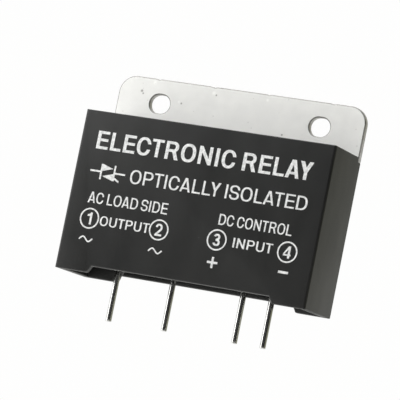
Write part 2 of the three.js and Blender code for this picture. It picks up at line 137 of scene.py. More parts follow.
class Surface:
    """A Principled material whose colour, roughness and relief come from procedural nodes."""

    def __init__(self, name, metallic=0.0):
        self.material = bpy.data.materials.new(name)
        self.material.use_nodes = True
        self.tree = self.material.node_tree
        self.shader = self.tree.nodes["Principled BSDF"]
        self.shader.inputs["Metallic"].default_value = metallic
        self.place = self.tree.nodes.new("ShaderNodeTexCoord").outputs["Object"]

    def link(self, output, node_input):
        self.tree.links.new(output, node_input)

    def stretched(self, stretch, shift=(0, 0, 0)):
        mapping = self.tree.nodes.new("ShaderNodeMapping")
        mapping.inputs["Scale"].default_value = stretch
        mapping.inputs["Location"].default_value = shift
        self.link(self.place, mapping.inputs["Vector"])
        return mapping.outputs["Vector"]

    def noise(self, size_mm, detail=2, stretch=(1, 1, 1), shift=(0, 0, 0), roughness=0.5):
        """Cloudy noise whose features are about size_mm across."""
        node = self.tree.nodes.new("ShaderNodeTexNoise")
        node.inputs["Scale"].default_value = 1 / (size_mm * MM)
        node.inputs["Detail"].default_value = detail
        node.inputs["Roughness"].default_value = roughness
        self.link(self.stretched(stretch, shift), node.inputs["Vector"])
        return node.outputs["Fac"]

    def specks(self, spacing_mm, size, shift):
        """1 inside scattered round specks and 0 elsewhere. size is their share of the spacing."""
        node = self.tree.nodes.new("ShaderNodeTexVoronoi")
        node.inputs["Scale"].default_value = 1 / (spacing_mm * MM)
        self.link(self.stretched((1, 1, 1), shift), node.inputs["Vector"])
        return self.spread(node.outputs["Distance"], size / 2, size, 1, 0)

    def spread(self, value, from_low, from_high, to_low, to_high):
        node = self.tree.nodes.new("ShaderNodeMapRange")
        node.inputs["From Min"].default_value = from_low
        node.inputs["From Max"].default_value = from_high
        node.inputs["To Min"].default_value = to_low
        node.inputs["To Max"].default_value = to_high
        self.link(value, node.inputs["Value"])
        return node.outputs["Result"]

    def varied(self, noise, low=0, high=1, reach=0.2):
        """A value from low to high, as the noise goes through its middle by reach to each side."""
        return self.spread(noise, 0.5 - reach, 0.5 + reach, low, high)

    def weakened(self, share, strength):
        node = self.tree.nodes.new("ShaderNodeMath")
        node.operation = "MULTIPLY"
        self.link(share, node.inputs[0])
        node.inputs[1].default_value = strength
        return node.outputs[0]

    def spot(self, x, y, z, radius_mm):
        """1 at a place on the object, given in millimetres, falling to 0 at radius_mm from it."""
        node = self.tree.nodes.new("ShaderNodeVectorMath")
        node.operation = "DISTANCE"
        self.link(self.place, node.inputs[0])
        node.inputs[1].default_value = (x * MM, y * MM, z * MM)
        return self.spread(node.outputs["Value"], 0, radius_mm * MM, 1, 0)

    def rise(self, low_mm, high_mm):
        """0 below one height and 1 above another."""
        split = self.tree.nodes.new("ShaderNodeSeparateXYZ")
        self.link(self.place, split.inputs["Vector"])
        return self.spread(split.outputs["Z"], low_mm * MM, high_mm * MM, 0, 1)

    def blend(self, share, first, second):
        """Colour that goes from first to second as share goes from 0 to 1."""
        node = self.tree.nodes.new("ShaderNodeMix")
        node.data_type = "RGBA"
        for value, socket in ((first, node.inputs[6]), (second, node.inputs[7])):
            if isinstance(value, tuple):
                socket.default_value = (*value, 1)
            else:
                self.link(value, socket)
        self.link(share, node.inputs[0])
        return node.outputs[2]

    def colour(self, output):
        self.link(output, self.shader.inputs["Base Color"])

    def roughness(self, output):
        self.link(output, self.shader.inputs["Roughness"])

    def relief(self, height, depth_mm):
        """Adds a bump of depth_mm on top of any relief that is already there."""
        node = self.tree.nodes.new("ShaderNodeBump")
        node.inputs["Distance"].default_value = depth_mm * MM
        self.link(height, node.inputs["Height"])
        normal = self.shader.inputs["Normal"]
        if normal.is_linked:
            self.link(normal.links[0].from_socket, node.inputs["Normal"])
        self.link(node.outputs["Normal"], normal)


# ---------- Materials ----------


def case_plastic():
    surface = Surface("case_plastic")
    cloud = surface.noise(9, detail=3)
    grain = surface.noise(0.16, detail=2)
    base = surface.blend(surface.varied(cloud), (0.0100, 0.0104, 0.0100), (0.0140, 0.0142, 0.0134))
    dust = surface.specks(2.3, 0.035, shift=(3, 1, 2))
    surface.colour(surface.blend(surface.weakened(dust, 0.35), base, (0.14, 0.14, 0.13)))
    rubbed = surface.noise(5, detail=4, stretch=(1, 1, 0.4), shift=(2, 5, 1))
    surface.roughness(surface.varied(rubbed, 0.32, 0.42, reach=0.25))
    surface.relief(surface.noise(6, detail=1, shift=(7, 7, 7)), 0.02)
    surface.relief(grain, 0.006)
    return surface.material


PAINTED_LIGHT_HEIGHT = 5  # how far up the tab, from the case, the painted light reaches
DARK_MARK = (0.30, 0.29, 0.27)
# painted highlight on the tab's nicks and dents
PAINTED_GLINT = (1.0, 1.0, 0.98)
PLATE_MARKS = [  # x, z, radius and colour of marks on the front of the tab: dark spots, and painted highlights on its nicks and dents
    (-18.3, 32.6, 0.30, DARK_MARK),
    (-18.0, 32.2, 0.20, DARK_MARK),
    (-16.2, 34.3, 0.45, PAINTED_GLINT),
    (-11.2, 31.6, 0.28, PAINTED_GLINT),
    (-10.7, 31.4, 0.22, DARK_MARK),
    (-5.2, 33.9, 0.45, PAINTED_GLINT),
    (-4.7, 33.6, 0.20, DARK_MARK),
    (4.6, 34.0, 0.35, PAINTED_GLINT),
    (8.3, 28.6, 0.22, DARK_MARK),
    (-2.6, 28.0, 0.20, DARK_MARK),
]


def plate_aluminium():
    """Rolled sheet, clouded and pitted, painted lighter on its lower part next to the case: painted light
    that cancels the case's shade there.
    """
    surface = Surface("plate_aluminium", metallic=1.0)
    cloud = surface.noise(3.5, detail=4, roughness=0.6)
    rolled = surface.noise(0.25, detail=2, stretch=(0.05, 1, 1))
    tone = surface.varied(cloud)
    plain_tone = surface.blend(tone, (0.86, 0.86, 0.84), (0.93, 0.93, 0.91))
    # painted light: the tab just above the case is lighter, making up for the shade the case casts on it
    painted_light_tone = surface.blend(tone, (0.96, 0.96, 0.94), (1.0, 1.0, 0.98))
    base = surface.blend(surface.rise(case_high.z, case_high.z + PAINTED_LIGHT_HEIGHT), painted_light_tone, plain_tone)
    pits = surface.specks(1.7, 0.08, shift=(1, 4, 2))
    base = surface.blend(surface.weakened(pits, 0.3), base, (0.45, 0.44, 0.42))
    for x, z, radius, colour in PLATE_MARKS:
        base = surface.blend(surface.spot(x, plate_low.y, z, radius), base, colour)
    surface.colour(base)
    surface.roughness(surface.varied(cloud, 0.68, 0.78, reach=0.25))
    surface.relief(surface.noise(2.2, detail=3, shift=(5, 5, 5)), 0.02)
    surface.relief(rolled, 0.004)
    return surface.material


def cut_aluminium(name, dark, light):
    """Stamped edges of the plate, duller than its faces and streaked across its thickness."""
    surface = Surface(name, metallic=1.0)
    shear = surface.noise(0.4, detail=3, stretch=(1, 0.25, 1))
    surface.colour(surface.blend(surface.varied(shear), dark, light))
    surface.roughness(surface.varied(shear, 0.46, 0.60))
    surface.relief(shear, 0.006)
    return surface.material


def tinned_wire():
    surface = Surface("tinned_wire", metallic=1.0)
    flow = surface.noise(0.8, detail=2, stretch=(1, 1, 0.35))
    surface.colour(surface.blend(surface.varied(flow), (0.62, 0.62, 0.60), (0.78, 0.78, 0.76)))
    surface.roughness(surface.varied(flow, 0.08, 0.17))
    surface.relief(flow, 0.012)
    return surface.material


def white_ink():
    surface = Surface("white_ink")
    wear = surface.noise(0.5, detail=4, roughness=0.65)
    tone = surface.varied(wear, reach=0.15)
    surface.colour(surface.blend(tone, (0.62, 0.63, 0.63), (0.98, 0.98, 0.97)))
    surface.roughness(surface.varied(wear, 0.55, 0.75))
    surface.relief(wear, 0.008)
    return surface.material


def black_epoxy():
    surface = Surface("black_epoxy")
    flow = surface.noise(4, detail=2)
    surface.colour(surface.blend(surface.varied(flow), (0.006, 0.006, 0.0065), (0.012, 0.012, 0.012)))
    surface.roughness(surface.varied(flow, 0.22, 0.38))
    surface.relief(surface.noise(0.9, detail=2), 0.01)
    return surface.material


def inner_surface(name, dark, light, size_mm, roughness_low, roughness_high, metallic):
    """A plain procedural finish for a piece that is sealed inside the case."""
    surface = Surface(name, metallic=metallic)
    cloud = surface.noise(size_mm, detail=3)
    surface.colour(surface.blend(surface.varied(cloud), dark, light))
    surface.roughness(surface.varied(cloud, roughness_low, roughness_high))
    surface.relief(cloud, 0.01)
    return surface.material


materials = {
    "black_plastic": case_plastic(),
    "aluminium": plate_aluminium(),
    "plate_rim": cut_aluminium("plate_rim", (0.52, 0.515, 0.50), (0.74, 0.735, 0.71)),
    # darker copy for the rounded edges: partly their own finish, partly painted shade for the dark line
    # along them
    "plate_burr_and_painted_shade": cut_aluminium("plate_burr_and_painted_shade", (0.28, 0.275, 0.26), (0.44, 0.435, 0.42)),
    "tinned_wire": tinned_wire(),
    "ink": white_ink(),
    "epoxy": black_epoxy(),
}

# Dark and light colour, size of the clouds in millimetres, least and most roughness, and metallic.
INNER_FINISHES = {
    "solder": ((0.50, 0.51, 0.52), (0.66, 0.67, 0.68), 0.6, 0.20, 0.35, 1),
    "thermal_bond": ((0.42, 0.42, 0.44), (0.56, 0.56, 0.58), 0.8, 0.60, 0.80, 0),
    "alumina": ((0.80, 0.78, 0.73), (0.88, 0.86, 0.82), 0.5, 0.50, 0.65, 0),
    "copper": ((0.58, 0.26, 0.14), (0.78, 0.40, 0.24), 1.2, 0.25, 0.40, 1),
    "silicon": ((0.09, 0.10, 0.12), (0.14, 0.15, 0.18), 1.5, 0.10, 0.20, 0.6),
    "board_laminate": ((0.03, 0.14, 0.06), (0.05, 0.21, 0.09), 0.7, 0.30, 0.45, 0),
    "moulded_body": ((0.012, 0.012, 0.012), (0.03, 0.03, 0.03), 0.3, 0.45, 0.60, 0),
    "capacitor_coat": ((0.42, 0.27, 0.04), (0.54, 0.36, 0.08), 1.5, 0.30, 0.45, 0),
    "resistor_lacquer": ((0.52, 0.40, 0.22), (0.64, 0.52, 0.30), 0.8, 0.35, 0.50, 0),
    "chip_resistor": ((0.03, 0.03, 0.035), (0.06, 0.06, 0.07), 0.4, 0.30, 0.45, 0),
}
for name, finish in INNER_FINISHES.items():
    materials[name] = inner_surface(name, *finish)

# ---------- Mesh helpers ----------

FACING = 0.9999  # how far along Y a unit normal points on the front and back of a sheet
CURVE_WELD = 0.0005  # vertices of a filled outline this close together are one
FRAME_WELD = 0.001  # vertices of a CAD mesh this close together are one


def add_piece(name, mesh, slot, replaced=()):
    """Links a mesh as a piece that rides on the relay and takes the finish of a slot."""
    piece = bpy.data.objects.new(name, mesh)
    bpy.context.scene.collection.objects.link(piece)
    mesh.materials.clear()
    mesh.materials.append(materials[slot])
    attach(piece, "root")
    if replaced:
        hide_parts(*replaced)
    return piece


def mesh_from(bm, name, smooth=True):
    bmesh.ops.recalc_face_normals(bm, faces=bm.faces)
    for face in bm.faces:
        face.smooth = smooth
    mesh = bpy.data.meshes.new(name)
    bm.to_mesh(mesh)
    bm.free()
    return mesh


def rounded(mesh, name, radius_mm, steps):
    """The same mesh with its edges rounded by their weights and its flat faces kept flat."""
    scratch = bpy.data.objects.new("scratch", mesh)
    bpy.context.scene.collection.objects.link(scratch)
    bevel = scratch.modifiers.new("bevel", "BEVEL")
    bevel.width = radius_mm * MM
    bevel.segments = steps
    bevel.limit_method = "WEIGHT"
    bevel.harden_normals = True
    graph = bpy.context.evaluated_depsgraph_get()
    result = bpy.data.meshes.new_from_object(scratch.evaluated_get(graph))
    result.name = name
    bpy.data.objects.remove(scratch)
    return result


def turned(profile, segments):
    """A closed solid turned about Z. profile is [radius, height] in millimetres, from axis to axis."""
    bm = bmesh.new()
    rings = []
    for radius, height in profile[1:-1]:
        ring = []
        for step in range(segments):
            angle = 2 * math.pi * step / segments
            place = Vector((radius * math.cos(angle), radius * math.sin(angle), height))
            ring.append(bm.verts.new(place * MM))
        rings.append(ring)
    for lower, upper in zip(rings, rings[1:]):
        for step in range(segments):
            after = (step + 1) % segments
            bm.faces.new((lower[step], lower[after], upper[after], upper[step]))
    for ring, (_, height) in ((rings[0], profile[0]), (rings[-1], profile[-1])):
        centre = bm.verts.new(Vector((0, 0, height)) * MM)
        for step in range(segments):
            bm.faces.new((ring[step], ring[(step + 1) % segments], centre))
    return bm


def arc(centre_x, centre_y, radius, start, end, steps):
    """Points along an arc, with angles in degrees."""
    points = []
    for step in range(steps + 1):
        angle = math.radians(start + (end - start) * step / steps)
        points.append((centre_x + radius * math.cos(angle), centre_y + radius * math.sin(angle)))
    return points


def faces_front_or_back(polygon):
    return abs(polygon.normal.y) > FACING


def flat_solid(name, loops, y0, y1, edge=0.0):
    """A sheet with closed outlines in X and Z, in millimetres, solid from y0 to y1.

    An outline inside another is a hole. Its two faces are shaded flat. Its rim is smooth if edge, the
    radius that its edges are rounded by, isn't 0.
    """
    curve = bpy.data.curves.new(name, "CURVE")
    curve.dimensions = "2D"
    curve.fill_mode = "BOTH"
    curve.extrude = ((y1 - y0) / 2 - edge) * MM
    curve.bevel_depth = edge * MM
    curve.bevel_resolution = PLATE_EDGE_STEPS
    curve.offset = -edge * MM
    for loop in loops:
        spline = curve.splines.new("POLY")
        spline.points.add(len(loop) - 1)
        for point, (x, z) in zip(spline.points, loop):
            point.co = (x * MM, z * MM, 0, 1)
        spline.use_cyclic_u = True
    flat = bpy.data.objects.new(name, curve)
    bpy.context.scene.collection.objects.link(flat)
    graph = bpy.context.evaluated_depsgraph_get()
    mesh = bpy.data.meshes.new_from_object(flat.evaluated_get(graph))
    bpy.data.objects.remove(flat)
    upright = Matrix.Rotation(math.radians(90), 4, "X")
    mesh.transform(Matrix.Translation((0, (y0 + y1) / 2 * MM, 0)) @ upright)
    bm = bmesh.new()
    bm.from_mesh(mesh)
    bmesh.ops.remove_doubles(bm, verts=bm.verts, dist=CURVE_WELD * MM)
    result = mesh_from(bm, name, smooth=edge > 0)
    for polygon in result.polygons:
        if faces_front_or_back(polygon):
            polygon.use_smooth = False
    return result


# ---------- Case ----------


def beside_print(edge):
    """Whether an edge is one of the two upright outer corners at the front."""
    first, second = (vertex.co / MM for vertex in edge.verts)
    upright = abs(first.z - second.z) > case_high.z / 2
    outer = abs(first.x) > case_high.x - WALL / 2
    return upright and outer and max(first.y, second.y) < case_low.y + WALL / 2


FLAT_ANGLE = math.radians(0.5)  # faces that meet at less than this are one
EDGE_ANGLE = math.radians(30)  # edges sharper than this are rounded


def case_mesh():
    bm = bmesh.new()
    bm.from_mesh(frame["nodes"]["case_shell"].data)
    bmesh.ops.remove_doubles(bm, verts=bm.verts, dist=FRAME_WELD * MM)
    bmesh.ops.dissolve_limit(bm, angle_limit=FLAT_ANGLE, verts=bm.verts, edges=bm.edges)
    for vertex in bm.verts:
        if vertex.co.y < (case_low.y + INK_THICKNESS) * MM:
            vertex.co.y = case_front_y * MM
    weights = bm.edges.layers.float.new("bevel_weight_edge")
    for edge in bm.edges:
        if edge.calc_face_angle(0) > EDGE_ANGLE:
            edge[weights] = 1 if beside_print(edge) else CASE_EDGE_RADIUS / CASE_CORNER_RADIUS
    return rounded(mesh_from(bm, "case_sharp"), "moulded_case", CASE_CORNER_RADIUS, CASE_CORNER_STEPS)


add_piece("moulded_case", case_mesh(), "black_plastic", ["case_shell"])

# ---------- Base plate ----------

CORNER_STEPS = 24
HOLE_STEPS = 36
RIM_SLOPE = 0.01  # how far along Y a unit normal may point on the plate's cut rim
RIM_INDEX, BURR_AND_SHADE_INDEX = 1, 2  # places of the two edge finishes in the plate's list

# Shallow dents in the top edge: place along X, half width and depth.
NICKS = [(-15.6, 0.5, 0.10), (-5.4, 0.7, 0.12), (4.6, 0.4, 0.08), (16.2, 0.5, 0.10)]


def plate_mesh():
    shoulder_z = case_high.z - SHOULDER_DROP
    narrow = case_high.x - WALL - PLATE_SIDE_GAP
    wide, low, high, radius = plate_high.x, plate_low.z, plate_high.z, TAB_CORNER_RADIUS
    outline = [(-narrow, low), (narrow, low), (narrow, shoulder_z), (wide, shoulder_z)]
    outline += arc(wide - radius, high - radius, radius, 0, 90, CORNER_STEPS)
    for x, half_width, depth in reversed(NICKS):
        outline += [(x + half_width, high), (x + half_width / 4, high - depth), (x - half_width, high)]
    outline += arc(-wide + radius, high - radius, radius, 90, 180, CORNER_STEPS)
    outline += [(-wide, shoulder_z), (-narrow, shoulder_z)]
    loops = [outline]
    hole_z = case_high.z + SCREW_RISE
    end_radius = SCREW_HOLE_HEIGHT / 2
    end_reach = SCREW_HOLE_WIDTH / 2 - end_radius
    for side in (-1, 1):
        x = side * SCREW_SPACING / 2
        right_end = arc(x + end_reach, hole_z, end_radius, 90, -90, HOLE_STEPS)
        left_end = arc(x - end_reach, hole_z, end_radius, 270, 90, HOLE_STEPS)
        loops.append(right_end + left_end)
    return flat_solid("plate", loops, plate_low.y, plate_high.y, PLATE_EDGE_RADIUS)


def finish_plate_edges(sheet):
    """Gives the cut rim one finish and the rounded edges beside it another, darker one: partly their own
    finish and partly painted shade for the dark line along them.
    """
    sheet.materials.append(materials["plate_rim"])
    sheet.materials.append(materials["plate_burr_and_painted_shade"])
    for polygon in sheet.polygons:
        if not faces_front_or_back(polygon):
            polygon.material_index = RIM_INDEX if abs(polygon.normal.y) < RIM_SLOPE else BURR_AND_SHADE_INDEX


plate = add_piece("plate", plate_mesh(), "aluminium", ["base_plate"])
finish_plate_edges(plate.data)

# ---------- Pins ----------


PIN_END_DISHING = 0.03
PIN_END_SHARE = 0.55  # radius of the dished part, as a share of the pin's
PIN_EDGE_STEPS = 6
PIN_RING_SPACING = 1


def pin_mesh(low_z, high_z):
    """A round wire with rounded ends, its lower one slightly dished by the cutter."""
    radius, corner = pin_radius, PIN_EDGE_RADIUS
    profile = [(0, low_z + PIN_END_DISHING), (radius * PIN_END_SHARE, low_z)]
    profile += arc(radius - corner, low_z + corner, corner, -90, 0, PIN_EDGE_STEPS)
    rings = int((high_z - low_z) / PIN_RING_SPACING) - 2
    profile += [(radius, low_z + PIN_RING_SPACING * (ring + 1)) for ring in range(rings)]
    profile += [(radius, high_z - corner), (radius - corner, high_z), (0, high_z)]
    return mesh_from(turned(profile, PIN_SEGMENTS), "pin")


for name, centre, (low, high) in zip(pin_names, pin_places, pin_boxes):
    mesh = pin_mesh(low.z, high.z)
    mesh.transform(Matrix.Translation(Vector((centre.x, centre.y, 0)) * MM))
    add_piece(f"{name}_wire", mesh, "tinned_wire", [name])

# ---------- Epoxy surface between the feet ----------

SKIN_STEP = 0.2
SKIN_BURIED = 0.08  # how far the skin's flat back is sunk into the cast block
WALL_RISE = 0.5
WALL_REACH = 0.45
PIN_CREEP = [(0.5, 0.3), (0.15, 0.25), (0.12, 0.25), (0.3, 0.3)]  # height down each pin, and reach from it
RUN_PLACE = (0.15, 0.45)  # middle of the epoxy that ran down behind pin 1, from the pin's axis
RUN_RADIUS = 0.15
RUN_DROP = 2.3
RUN_REACH = 0.4
SWELL = 0.04  # height of the slow waves in the surface


def epoxy_surface_z(x, y):
    """Height of the epoxy's open surface. It creeps down the walls and down the pins."""
    to_wall = min(x - epoxy_low.x, epoxy_high.x - x, y - epoxy_low.y, epoxy_high.y - y)
    creep = WALL_RISE * math.exp(-max(to_wall, 0) / WALL_REACH)
    for centre, (rise, reach) in zip(pin_places, PIN_CREEP):
        to_pin = math.hypot(x - centre.x, y - centre.y) - pin_radius
        creep += rise * math.exp(-max(to_pin, 0) / reach)
    run_x, run_y = pin_places[0].x + RUN_PLACE[0], pin_places[0].y + RUN_PLACE[1]
    to_run = math.hypot(x - run_x, y - run_y) - RUN_RADIUS
    creep += RUN_DROP * math.exp(-max(to_run, 0) / RUN_REACH)
    swell = SWELL * math.sin(0.5 * x + 0.3) * math.sin(0.8 * y + 0.5)
    return epoxy_low.z - creep - swell


def epoxy_skin_mesh():
    bm = bmesh.new()
    across = round((epoxy_high.x - epoxy_low.x) / SKIN_STEP)
    deep = round((epoxy_high.y - epoxy_low.y) / SKIN_STEP)
    open_side, buried_side = [], []
    for i in range(across + 1):
        x = epoxy_low.x + (epoxy_high.x - epoxy_low.x) * i / across
        open_row, buried_row = [], []
        for j in range(deep + 1):
            y = epoxy_low.y + (epoxy_high.y - epoxy_low.y) * j / deep
            open_row.append(bm.verts.new(Vector((x, y, epoxy_surface_z(x, y))) * MM))
            buried_row.append(bm.verts.new(Vector((x, y, epoxy_low.z + SKIN_BURIED)) * MM))
        open_side.append(open_row)
        buried_side.append(buried_row)
    for grid in (open_side, buried_side):
        for i in range(across):
            for j in range(deep):
                bm.faces.new((grid[i][j], grid[i + 1][j], grid[i + 1][j + 1], grid[i][j + 1]))
    rim = [(i, 0) for i in range(across)] + [(across, j) for j in range(deep)]
    rim += [(i, deep) for i in range(across, 0, -1)] + [(0, j) for j in range(deep, 0, -1)]
    for (i, j), (k, m) in zip(rim, rim[1:] + rim[:1]):
        bm.faces.new((open_side[i][j], open_side[k][m], buried_side[k][m], buried_side[i][j]))
    return mesh_from(bm, "epoxy_surface")


add_piece("epoxy_surface", epoxy_skin_mesh(), "epoxy")

# ---------- Letters ----------
#
# A letter is drawn one unit high. up is the thickness of its upright strokes and level that of its level
# ones. Each drawing is a width and a list of closed outlines, where an outline inside another is a hole.

ROUNDNESS = 0.88  # 1 gives true ovals, and less gives squarer ones
OVERSHOOT = 0.012  # how far round letters reach past straight ones


def oval(centre_x, centre_y, radius_x, radius_y, start, end, steps=18):
    points = []
    for step in range(steps + 1):
        angle = math.radians(start + (end - start) * step / steps)
        across, along = math.cos(angle), math.sin(angle)
        x = centre_x + radius_x * math.copysign(abs(across) ** ROUNDNESS, across)
        y = centre_y + radius_y * math.copysign(abs(along) ** ROUNDNESS, along)
        points.append((x, y))
    return points


def angle_at(height, radius):
    """The angle in degrees at which an oval of that radius has that height over its middle."""
    return math.degrees(math.asin((height / radius) ** (1 / ROUNDNESS)))


def letter_e(up, level):
    width, low, high = 0.64, 0.51 - level / 2, 0.51 + level / 2
    outline = [(0, 0), (width, 0), (width, level), (up, level), (up, low), (width - 0.04, low)]
    outline += [(width - 0.04, high), (up, high), (up, 1 - level), (width - 0.01, 1 - level)]
    return width, [outline + [(width - 0.01, 1), (0, 1)]]


def letter_l(up, level):
    width = 0.58
    return width, [[(0, 0), (width, 0), (width, level), (up, level), (up, 1), (0, 1)]]


def letter_t(up, level):
    width, top = 0.64, 1 - level
    left, right = (width - up) / 2, (width + up) / 2
    outline = [(left, 0), (right, 0), (right, top), (width, top), (width, 1)]
    return width, [outline + [(0, 1), (0, top), (left, top)]]


def letter_i(up, level):
    return up, [[(0, 0), (up, 0), (up, 1), (0, 1)]]


def letter_n(up, level):
    width, post, drop = 0.72, 0.95 * up, 1.95 * up
    outline = [(0, 0), (post, 0), (post, 1 - drop), (width - post, 0), (width, 0), (width, 1)]
    return width, [outline + [(width - post, 1), (width - post, drop), (post, 1), (0, 1)]]


def letter_y(up, level):
    width, middle, arm, fork = 0.70, 0.35, 1.2 * up, 0.40
    crotch = 1 - (middle - arm) * (1 - fork) / (middle - up / 2)
    outline = [(middle - up / 2, 0), (middle + up / 2, 0), (middle + up / 2, fork), (width, 1)]
    outline += [(width - arm, 1), (middle, crotch), (arm, 1), (0, 1), (middle - up / 2, fork)]
    return width, [outline]


def letter_a(up, level):
    width, middle, leg, flat = 0.74, 0.37, 1.03 * up, 0.62 * up
    lean = middle - flat
    low, high = 0.2, 0.2 + 0.9 * level
    outline = [(0, 0), (leg, 0), (leg + lean * low, low), (width - leg - lean * low, low), (width - leg, 0)]
    outline += [(width, 0), (middle + flat, 1), (middle - flat, 1)]
    hole = [(leg + lean * high, high), (width - leg - lean * high, high), (middle, (middle - leg) / lean)]
    return width, [outline, hole]


def letter_o(up, level):
    width, tall = 0.80, 0.5 + OVERSHOOT
    outline = oval(width / 2, 0.5, width / 2, tall, 0, 360, 48)[:-1]
    hole = oval(width / 2, 0.5, width / 2 - up, tall - level, 0, 360, 48)[:-1]
    return width, [outline, hole]


def letter_c(up, level):
    width, middle, tall, cut = 0.74, 0.38, 0.5 + OVERSHOOT, 0.15
    outer, inner = angle_at(cut, tall), angle_at(cut, tall - level)
    outline = oval(middle, 0.5, middle, tall, outer, 360 - outer, 36)
    return width, [outline + oval(middle, 0.5, middle - up, tall - level, 360 - inner, inner, 36)]


def bowl(right, radius, low, high, up=0.0, level=0.0, start=-90):
    """The round right side of a D, P or R, from its low corner up to its high one."""
    middle = (low + high) / 2
    return oval(right - radius, middle, radius - up, (high - low) / 2 - level, start, 90)


def letter_d(up, level):
    width, radius = 0.74, 0.42
    outline = [(0, 0)] + bowl(width, radius, 0, 1) + [(0, 1)]
    return width, [outline, [(up, level)] + bowl(width, radius, 0, 1, up, level) + [(up, 1 - level)]]


def letter_p(up, level):
    width, radius, low = 0.68, 0.30, 0.40
    outline = [(0, 0), (up, 0), (up, low)] + bowl(width, radius, low, 1) + [(0, 1)]
    hole = [(up, low + level)] + bowl(width, radius, low, 1, up, level) + [(up, 1 - level)]
    return width, [outline, hole]


def letter_r(up, level):
    width, right, radius, low, leg, lean = 0.74, 0.69, 0.30, 0.42, 1.15 * up, 0.388
    outline = [(0, 0), (up, 0), (up, low), (width - leg - lean * low, low), (width - leg, 0), (width, 0)]
    outline += bowl(right, radius, low, 1, start=-58) + [(0, 1)]
    hole = [(up, low + level)] + bowl(right, radius, low, 1, up, level) + [(up, 1 - level)]
    return width, [outline, hole]


def letter_s(up, level):
    width, end = 0.68, 6
    middle, wide, tall = width / 2, (width - up) / 2, 0.25 - level / 4 + OVERSHOOT / 2
    outer = (wide + up / 2, tall + level / 2)
    inner = (wide - up / 2, tall - level / 2)
    outline = oval(middle, 0.5 + tall, *outer, -end, 270, 30)
    outline += oval(middle, 0.5 - tall, *inner, 90, -180 - end, 30)[1:]
    outline += oval(middle, 0.5 - tall, *outer, -180 - end, 90, 30)
    outline += oval(middle, 0.5 + tall, *inner, 270, -end, 30)[1:]
    return width, [outline]


def letter_u(up, level):
    width, tall = 0.72, 0.36
    outline = [(0, 1)] + oval(width / 2, tall, width / 2, tall + OVERSHOOT, 180, 360) + [(width, 1)]
    inside = oval(width / 2, tall, width / 2 - up, tall + OVERSHOOT - level, 360, 180)
    return width, [outline + [(width - up, 1)] + inside + [(up, 1)]]


def digit_1(up, level):
    width = 0.42
    post = width - up
    outline = [(post, 0), (width, 0), (width, 1), (width - 0.85 * up, 1), (post - 0.06, 0.87)]
    return width, [outline + [(0, 0.82), (0, 0.68), (post, 0.68)]]


def digit_2(up, level):
    width, middle, height, tall, turn = 0.64, 0.32, 0.69, 0.31 + OVERSHOOT, -40
    outline = oval(middle, height, middle, tall, 176, turn)
    outline += [(1.5 * up, level), (width, level), (width, 0), (0, 0), (0, 0.75 * level)]
    return width, [outline + oval(middle, height, middle - up, tall - level, turn, 176)]


def digit_3(up, level):
    width, end, waist = 0.64, 172, 62
    upper, lower = (0.31, 0.735, 0.29, 0.265), (0.32, 0.28, 0.32, 0.28)
    outline = oval(*upper, end, -waist) + oval(*lower, waist, -end)
    outline += oval(*lower[:2], lower[2] - up, lower[3] - level, -end, 80)
    outline += [(0.22, 0.44), (0.22, 0.44 + 0.85 * level)]
    return width, [outline + oval(*upper[:2], upper[2] - up, upper[3] - level, -80, end)]


def digit_4(up, level):
    width, bar_low, bar_high, post = 0.66, 0.2, 0.2 + 0.9 * level, 0.40
    outline = [(post, 0), (post + up, 0), (post + up, bar_low), (width, bar_low), (width, bar_high)]
    outline += [(post + up, bar_high), (post + up, 1), (post, 1), (0, bar_high + 0.02)]
    outline += [(0, bar_low), (post, bar_low)]
    return width, [outline, [(post, bar_high), (post, 0.72), (0.7 * up, bar_high)]]


letters = {
    "A": letter_a, "C": letter_c, "D": letter_d, "E": letter_e, "I": letter_i, "L": letter_l,
    "N": letter_n, "O": letter_o, "P": letter_p, "R": letter_r, "S": letter_s, "T": letter_t,
    "U": letter_u, "Y": letter_y, "1": digit_1, "2": digit_2, "3": digit_3, "4": digit_4,
}
STRAIGHT_LEFT, STRAIGHT_RIGHT = "DEILNPRU", "INU"
OPEN_LEFT, OPEN_RIGHT = "ATY", "AELTY"
STRAIGHT_ROOM, ROUND_ROOM, OPEN_ROOM = 0.10, 0.055, 0.03  # beside each kind of side
SPACE_WIDTH = 0.24
CLOSER = {"AY": 0.10, "LY": 0.10, "AT": 0.06, "CT": 0.02}  # pairs that stand closer together
LEVEL_SHARE = 0.86  # thickness of level strokes, as a share of upright ones


def side_room(character, straight, open_sides):
    if character in straight:
        return STRAIGHT_ROOM
    return OPEN_ROOM if character in open_sides else ROUND_ROOM


def lettering(text, left, right, low, high, stroke):
    """Outlines of a line of text that fills a box on the front. stroke is in millimetres."""
    up = stroke / (high - low)
    level = LEVEL_SHARE * up
    outlines, at, end, before = [], 0, 0, ""
    for character in text:
        if character == " ":
            at += SPACE_WIDTH
        else:
            if before:
                at += side_room(character, STRAIGHT_LEFT, OPEN_LEFT) - CLOSER.get(before + character, 0)
            width, drawing = letters[character](up, level)
            outlines += [[(at + x, y) for x, y in outline] for outline in drawing]
            end = at + width
            at = end + side_room(character, STRAIGHT_RIGHT, OPEN_RIGHT)
        before = character
    scale_x = (right - left) / end
    scale_y = high - low
    return [[(left + x * scale_x, low + y * scale_y) for x, y in outline] for outline in outlines]


# ---------- Print on the front ----------


def print_mark(name, *outlines):
    """Ink on the front of the case, standing INK_THICKNESS proud of it and rooted INK_SUNK in it."""
    add_piece(name, flat_solid(name, outlines, ink_front_y, case_front_y + INK_SUNK), "ink")


def ring(x, z, radius, stroke):
    return [arc(x, z, radius, 0, 360, 64)[:-1], arc(x, z, radius - stroke, 0, 360, 64)[:-1]]


WAVE_TURN = math.radians(410)
WAVE_STEPS = 24
WAVE_WIDTH = 2.4
WAVE_HEIGHT = 0.75
WAVE_STROKE = 0.24


